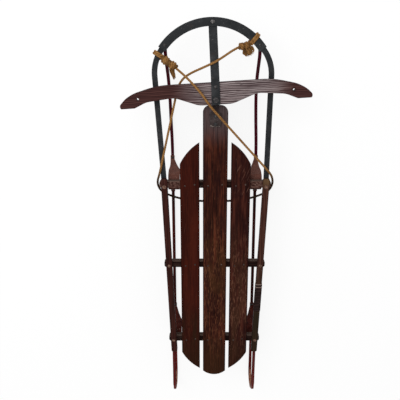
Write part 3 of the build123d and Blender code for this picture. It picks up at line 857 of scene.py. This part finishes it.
runnerLook = {
    "halfTrack": 0.133,
    "height": 0.014,
    "flange": 0.0098,
    "flangeThick": 0.003,
    "web": 0.004,
    "tailFlange": 0.0108,
    "tailWeb": 0.0076,
    "tailBluntFrom": (-0.50, -0.60),
    "edge": 0.0007,
    "springY": 0.216,
    "bendFrom": 0.17,
    "bendTo": 0.32,
    "step": 0.003,
    "bendPoints": 40,
    "edgePoints": 4,
    "specular": 0.04,
    "tone": (60, 60, 9),
    "scuffs": (120, 120, 14),
    "dark": tint(34, 9, 8),
    "middle": tint(56, 16, 13),
    "light": tint(80, 27, 20),
    "zones": [  # crimson in front, brighter red behind
        ((0.05, 0.24), tint(46, 8, 18), tint(82, 13, 30)),
        ((-0.38, -0.46), tint(52, 12, 10), tint(112, 30, 26)),
    ],
    "scuff": tint(82, 38, 30),
    "scuffShare": 0.2,
    "speck": tint(100, 56, 46),
    "speckShare": 0.1,
    "rust": tint(100, 50, 30),
    "rustShare": 0.45,
    "tail": tint(172, 128, 104),
    "tailFrom": (-0.575, -0.602),
}
# Side view from under the rail to the bow: y, z, and the bend at each inner corner
runnerCorners = [
    (-0.39025, 0.139),
    (-0.43525, 0.139),
    (-0.57942, 0.128),
    (-0.64928, 0.007),
    (0.425, 0.007),
    (0.530, 0.139),
    (0.562, 0.139),
]
runnerBends = [0.120, 0.040, 0.040, 0.165, 0.038]
redSteel = paintedSteel("redRunner", runnerLook, bent=True)


def teeProfile(flange, web):
    # The tee's outline with every corner rounded: flange on the inside of the bends, web on the outside
    half, edge = runnerLook["height"] / 2, runnerLook["edge"]
    wide, web = flange / 2, web / 2
    under = half - runnerLook["flangeThick"]
    corners = [(0, half), (wide, half), (wide, under), (web, under), (web, -half), (-web, -half),
               (-web, under), (-wide, under), (-wide, half), (0, half)]
    flat = np.array([(x, y, 0) for x, y in corners])
    return bentBar(flat, [edge] * (len(corners) - 2), runnerLook["edgePoints"])[:-1, :2]


def runnerBar(name, side):
    # Tee profile carried along the side view's line, blunter towards the tail; in front of the knee the bar
    # is turned about the spring by its share of the steering, eased in over the bend
    corners = [(side * runnerLook["halfTrack"], y, z) for y, z in runnerCorners]
    line = spacedLine(bentBar(corners, runnerBends, runnerLook["bendPoints"]), runnerLook["step"])
    tangent = unit(np.gradient(line, axis=0))
    inside = np.stack([np.zeros(len(line)), -tangent[:, 2], tangent[:, 1]], axis=1)
    section = teeProfile(runnerLook["flange"], runnerLook["web"])
    blunt = teeProfile(runnerLook["tailFlange"], runnerLook["tailWeb"])
    tail = eased(line[:, 1], *runnerLook["tailBluntFrom"])[:, None, None]
    profile = section + (blunt - section) * tail
    points = carried(line, profile, inside)
    along = np.broadcast_to(measured(line)[:, None, None], points.shape[:2] + (1,))
    straight = np.concatenate([profile, along + side], axis=-1)
    bendFrom, bendTo = runnerLook["bendFrom"], runnerLook["bendTo"]
    spring = np.array([side * runnerLook["halfTrack"], runnerLook["springY"], 0])
    rest = steerAngle * couplings["runner_bend_" + name]
    points = turned(points, spring, rest * eased(points[..., 1], bendFrom, bendTo))
    bar = makePiece("runner_bar_" + name, points, redSteel, straight, sharp=50)
    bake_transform(bar)
    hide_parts("runner_" + name, "runner_front_" + name)


sides = {"left": -1, "right": 1}
for name, side in sides.items():
    runnerBar(name, side)
print("runners:", len(sides))


# Nails, rivets and bolt heads

studLook = {
    "around": 24,
    "rings": 9,
    "sunk": 0.3,  # share of a head's height that goes into the face
}
studSizes = {  # radius and height
    "slat_nails": (0.0027, 0.0007),
    "rail_rivets": (0.0048, 0.0022),
    "plate_bolts": (0.0056, 0.0024),
    "strap_rivet": (0.0058, 0.0026),
    "lap_rivets": (0.0048, 0.0018),
    "knee_foot_rivets": (0.0040, 0.0024),
    "knee_pad_rivets": (0.0048, 0.0030),
}
boltLooks = {
    "nailSteel": {
        "dark": tint(24, 14, 11), "middle": tint(48, 32, 26), "light": tint(100, 78, 66),
        "scratch": tint(140, 120, 106), "metallic": 0.2,
    },
    "boltSteel": {
        "dark": tint(38, 37, 38), "middle": tint(78, 76, 76), "light": tint(140, 136, 134),
        "scratch": tint(205, 200, 196), "metallic": 0.5,
    },
    "rustyBolt": {
        "dark": tint(52, 34, 26), "middle": tint(96, 64, 48), "light": tint(150, 114, 92),
        "scratch": tint(222, 206, 190), "metallic": 0.2,
    },
    "darkBolt": {
        "dark": tint(22, 20, 21), "middle": tint(44, 42, 43), "light": tint(84, 80, 80),
        "scratch": tint(120, 116, 114), "metallic": 0.3,
    },
}
bolts = {name: bareSteel(name, look) for name, look in boltLooks.items()}
studCounts = {}


def studs(name, places, material, body, up=1):
    # Low domes at places: radius follows the sine and height the cosine of a quarter turn, closed below
    radius, height = studSizes[name]
    turn = np.linspace(0, np.pi / 2, studLook["rings"])
    rise = np.concatenate([np.cos(turn), [-studLook["sunk"]] * 2]) * height * up
    out = np.concatenate([np.sin(turn), [1, 0]]) * radius
    around = np.linspace(0, 2 * np.pi, studLook["around"], endpoint=False)
    x, y = out[:, None] * np.cos(around), out[:, None] * np.sin(around)
    dome = np.stack(np.broadcast_arrays(x, y, rise[:, None]), axis=-1)
    points = np.array(places, float)[:, None, None] + dome
    piece = makePiece(name, points, material, sharp=60)
    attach(piece, body)
    studCounts[name] = len(places)


def middleOf(node):
    low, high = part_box(node)
    return np.array((low + high) / 2)


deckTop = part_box("slat_centre")[1].z
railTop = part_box("rail_right")[1].z
crossbarYs = [middleOf("crossbar_" + name)[1] for name in ("front", "middle", "rear")]
nailLook = {"slat_left": 0.0145, "slat_centre": 0.021, "slat_right": 0.0145, "stagger": 0.002}
slatNails = [(middleOf(slat)[0] + way * nailLook[slat], y + way * nailLook["stagger"], deckTop)
             for slat in ("slat_left", "slat_centre", "slat_right") for y in crossbarYs for way in (-1, 1)]
studs("slat_nails", slatNails, bolts["nailSteel"], "sled")

railEnds = {"frontX": 0.153, "frontY": 0.168, "rearX": 0.130, "rearY": -0.419}


def railX(y):
    # Half the distance between the rails, a straight line from their front ends to their rear ends
    share = (y - railEnds["rearY"]) / (railEnds["frontY"] - railEnds["rearY"])
    return railEnds["rearX"] + (railEnds["frontX"] - railEnds["rearX"]) * share


railRivets = [(side * railX(y), y, railTop) for side in (-1, 1) for y in crossbarYs[1:]]
studs("rail_rivets", railRivets, bolts["rustyBolt"], "sled")

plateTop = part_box("pivot_plate")[1].z
plateBoltYs = (0.354, 0.332)
studs("plate_bolts", [(0, y, plateTop) for y in plateBoltYs], bolts["darkBolt"], "sled")

strapRivetAhead = 0.036  # of the steering bolt
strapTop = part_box("centre_strap")[1].z
strapSpot = np.array([0, pivot[1] + strapRivetAhead, strapTop])
strapSpot = turned(strapSpot, np.array([0, pivot[1], 0]), steerAngle)
studs("strap_rivet", [strapSpot], bolts["darkBolt"], "steering")

bowLook = {"middleRadius": 0.172, "lapAngle": 50.65}
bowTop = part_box("bow")[1].z
bowYaw = steerAngle * (couplings["bow_turn"] + 1)
bowRadius = bowLook["middleRadius"]
bowCentre = jointAt["bow_turn"] - bowRadius * np.array([-math.sin(bowYaw), math.cos(bowYaw), 0])
lapAngles = [math.radians(side * bowLook["lapAngle"]) + bowYaw for side in (-1, 1)]
lapSpots = [(bowCentre[0] - bowRadius * math.sin(angle), bowCentre[1] + bowRadius * math.cos(angle), bowTop)
            for angle in lapAngles]
studs("lap_rivets", lapSpots, bolts["darkBolt"], "bow")

kneeFoot = {"spread": 0.053, "top": 0.017, "padLow": 0.123, "padIn": 0.0085, "padSpread": 0.010}
footX = runnerLook["halfTrack"]
padX = footX - kneeFoot["padIn"]
kneeSpots = [(side, y, way) for side in (-1, 1) for y in (crossbarYs[0], crossbarYs[2]) for way in (-1, 1)]
feet = [(side * footX, y + way * kneeFoot["spread"], kneeFoot["top"]) for side, y, way in kneeSpots]
studs("knee_foot_rivets", feet, bolts["darkBolt"], "sled")
pads = [(side * padX + way * kneeFoot["padSpread"], y, kneeFoot["padLow"]) for side, y, way in kneeSpots]
studs("knee_pad_rivets", pads, bolts["darkBolt"], "sled", up=-1)
print("fasteners:", sum(studCounts.values()))


# Tape wound round the cracked rail

tapeLook = {
    "frontY": -0.175,
    "length": 0.096,
    "halfWide": 0.0095,
    "inset": 0.0012,  # of the section below the tape's top
    "turnWidth": 0.0055,
    "slant": 0.22,
    "thick": 0.0007,
    "ridge": 0.0009,
    "clear": 0.0002,
    "taper": 0.002,  # at either end
    "corner": 0.0045,
    "cornerPoints": 7,
    "step": 0.0016,
    "rings": 220,
    "specular": 0.08,
    "roughness": 0.75,
    "weave": 900.0,
    "patches": (60, 90, 60),
    "dark": tint(18, 10, 9),
    "middle": tint(35, 22, 20),
    "light": tint(64, 45, 42),
    # painted highlights along the tape's front edge
    "pale": tint(138, 118, 108),
    "paleAt": (-0.1765, -0.1860),
    "paleReach": (0.0016, 0.0006),
}


def tapeSleeve():
    # Round-cornered sleeve along the rail; its wall rises over each turn of tape and drops at the turn's edge
    low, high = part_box("rail_tape")
    wide, tall = tapeLook["halfWide"], (high.z - low.z) / 2 - tapeLook["inset"]
    corner = tapeLook["corner"]
    outline = [(0, tall, 0), (wide, tall, 0), (wide, -tall, 0),
               (-wide, -tall, 0), (-wide, tall, 0), (0, tall, 0)]
    section = bentBar(outline, [corner] * 4, tapeLook["cornerPoints"])
    section = spacedLine(section, tapeLook["step"])[:-1, :2]
    arcCentres = np.clip(section, [-wide + corner, -tall + corner], [wide - corner, tall - corner])
    outward = unit(section - arcCentres)
    front = tapeLook["frontY"]
    ys = np.linspace(front, front - tapeLook["length"], tapeLook["rings"])
    line = np.stack([railX(ys), ys, np.full_like(ys, (low.z + high.z) / 2)], axis=1)
    wound = (front - ys[:, None] + tapeLook["slant"] * section[:, 0]) / tapeLook["turnWidth"]
    saw = wound % 1.0
    wall = tapeLook["thick"] + tapeLook["ridge"] * saw * eased(saw, 1.0, 0.86)
    taper = tapeLook["taper"]
    ends = np.minimum(eased(ys, ys[0], ys[0] - taper), eased(ys, ys[-1], ys[-1] + taper))
    profile = section + outward * (tapeLook["clear"] + wall * ends[:, None])[..., None]
    cloth = tapeCloth("tapeCloth", tapeLook)
    sleeve = makePiece("tape_sleeve", carried(line, profile, upward), cloth, sharp=40)
    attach(sleeve, "sled")
    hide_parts("rail_tape")


tapeSleeve()
print("tape")


# Finishes on the frame's own pieces

def dress(material, *names):
    for name in names:
        nodes[name].data.materials.clear()
        nodes[name].data.materials.append(material)


slatLooks = {
    "slat_centre": {
        "shift": (0.0, 0.0, 0.0), "centre": 0.0, "half": 0.0365,
        "dark": tint(25, 8, 6), "middle": tint(51, 21, 14), "light": tint(90, 43, 28),
        "blotch": tint(36, 13, 13), "blotchShare": 0.6, "dash": tint(108, 67, 44),
        "wornAt": -0.22, "wornReach": 0.34, "wornShare": 0.65, "worn": tint(64, 38, 20),
        "slant": 4.0, "scratchShare": 0.5, "scratch": tint(112, 72, 52),
        "greyFrom": (0.25, 0.36), "grey": tint(82, 72, 73), "low": tint(49, 28, 13),
    },
    "slat_left": {
        "shift": (5.3, 1.7, 0.0), "centre": -0.0762, "half": 0.029,
        "dark": tint(40, 12, 7), "middle": tint(54, 17, 10), "light": tint(68, 24, 14),
        "blotch": tint(44, 13, 9), "blotchShare": 0.35, "dash": tint(78, 42, 28),
        "wornAt": -0.46, "wornReach": 0.24, "wornShare": 0.85, "worn": tint(42, 25, 13),
        "slant": 8.0, "scratchShare": 0.3, "scratch": tint(96, 56, 46),
        "greyFrom": (0.30, 0.40), "grey": tint(64, 44, 42), "low": tint(42, 25, 13),
    },
    "slat_right": {
        "shift": (9.1, 4.2, 0.0), "centre": 0.0762, "half": 0.029,
        "dark": tint(29, 10, 9), "middle": tint(49, 19, 15), "light": tint(77, 38, 28),
        "blotch": tint(36, 13, 14), "blotchShare": 0.6, "dash": tint(104, 69, 53),
        "wornAt": -0.24, "wornReach": 0.32, "wornShare": 0.65, "worn": tint(63, 39, 25),
        "slant": 24.0, "scratchShare": 0.7, "scratch": tint(116, 82, 70),
        "greyFrom": (0.30, 0.40), "grey": tint(66, 50, 48), "low": tint(40, 22, 11),
    },
}
for name, look in slatLooks.items():
    dress(slatWood(name + "_wood", look), name)

barLook = {
    "specular": 0.06, "slope": 0.045, "sway": 0.010, "lineGap": 0.0048, "cracksFrom": (0.0, 0.05),
    "tipDark": tint(48, 26, 25), "tip": tint(66, 39, 37), "tipLight": tint(86, 56, 52),
    "line": tint(52, 38, 40), "middle": tint(100, 84, 85), "pale": tint(134, 120, 120),
    "palest": tint(168, 156, 155), "leftFade": (-0.135, -0.005), "rightFade": (0.225, 0.125),
    "stain": tint(44, 24, 18), "stainAt": (0.2180, 0.4335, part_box("steering_bar")[1].z),
    "stainReach": (0.0085, 0.0045), "stainShare": 0.75, "sideShare": 0.75,
}
dress(barWood("steeringBarWood", barLook), "steering_bar")

railLook = {"specular": 0.06, "stretch": (260, 9, 260), "patches": (40, 5, 40), "rubShare": 0.6}
rightRailLook = {
    **railLook, "shift": (2.0, 0.5, 0.0), "dark": tint(38, 18, 14), "middle": tint(66, 38, 30),
    "light": tint(92, 60, 49), "rubbed": tint(122, 90, 76),
    "soiled": tint(36, 28, 16), "soiledFrom": [(-0.10, -0.155, 0.0, 0.6), (-0.255, -0.285)],
    "tan": tint(98, 75, 50), "tanFrom": (0.132, 0.162),  # where the rope rubs
}
leftRailLook = {
    **railLook, "shift": (6.0, 2.5, 0.0), "dark": tint(34, 15, 12), "middle": tint(54, 25, 20),
    "light": tint(72, 37, 30), "rubbed": tint(96, 60, 50),
}
dress(plainWood("railWoodRight", rightRailLook), "rail_right")
dress(plainWood("railWoodLeft", leftRailLook), "rail_left")

crossbarLook = {
    "specular": 0.05, "stretch": (9, 260, 260), "patches": (6, 60, 60), "shift": (1.0, 3.5, 0.0),
    "dark": tint(20, 10, 9), "middle": tint(34, 18, 15), "light": tint(52, 30, 25),
    "rubbed": tint(112, 92, 82), "rubShare": 0.4, "edgeReach": (0.0036, 0.0008),
}
crossbarEnds = {
    "crossbar_front": {"outer": tint(92, 62, 54), "outerFrom": (0.098, 0.106), "speckles": (190, 190, 190)},
    "crossbar_middle": {},
    "crossbar_rear": {},
}
for name, ends in crossbarEnds.items():
    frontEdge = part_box(name)[1].y
    dress(plainWood(name + "_wood", {**crossbarLook, **ends, "edgeAt": frontEdge}), name)

blackLook = {
    "specular": 0.1, "tone": (30, 30, 30), "scuffs": (150, 90, 150),
    "dark": tint(30, 32, 34), "middle": tint(41, 43, 45), "light": tint(55, 56, 58),
    "scuff": tint(84, 84, 85), "scuffShare": 0.45, "speck": tint(120, 118, 114), "speckShare": 0.5,
    "rust": tint(62, 50, 44), "rustShare": 0.3,
}
dress(paintedSteel("blackSteel", blackLook), "bow", "centre_strap", "side_strap_left", "side_strap_right")
plateLook = {
    **blackLook, "dark": tint(40, 32, 32), "middle": tint(56, 47, 46), "light": tint(76, 66, 65),
    "scuff": tint(98, 90, 88), "rust": tint(58, 40, 34), "rustShare": 0.5, "rub": tint(150, 138, 130),
    "rubAt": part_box("pivot_plate")[0].y + 0.002, "rubReach": (0.0045, 0.0010),
}
dress(paintedSteel("plateSteel", plateLook), "pivot_plate")
kneeLook = {
    "specular": 0.04, "tone": (60, 40, 60), "scuffs": (160, 70, 160),
    "dark": tint(44, 14, 11), "middle": tint(70, 25, 19), "light": tint(94, 48, 38),
    "zones": [((0.05, 0.24), tint(84, 50, 43), tint(132, 92, 80))],  # painted light: the front knees, which face up to the lamp, are paler
    "scuff": tint(150, 116, 104), "scuffShare": 0.8, "speck": tint(100, 56, 46), "speckShare": 0.1,
    "rust": tint(96, 52, 34), "rustShare": 0.45,
}
knees = ["knee_" + end + "_" + side for end in ("front", "rear") for side in ("left", "right")]
dress(paintedSteel("kneeSteel", kneeLook), *knees)
dress(bolts["boltSteel"], "bow_bolt")
dress(bolts["rustyBolt"], "rail_bolt_left", "rail_bolt_right")
dress(bolts["darkBolt"], "steering_bolt")
print("finishes on", len(nodes), "nodes")
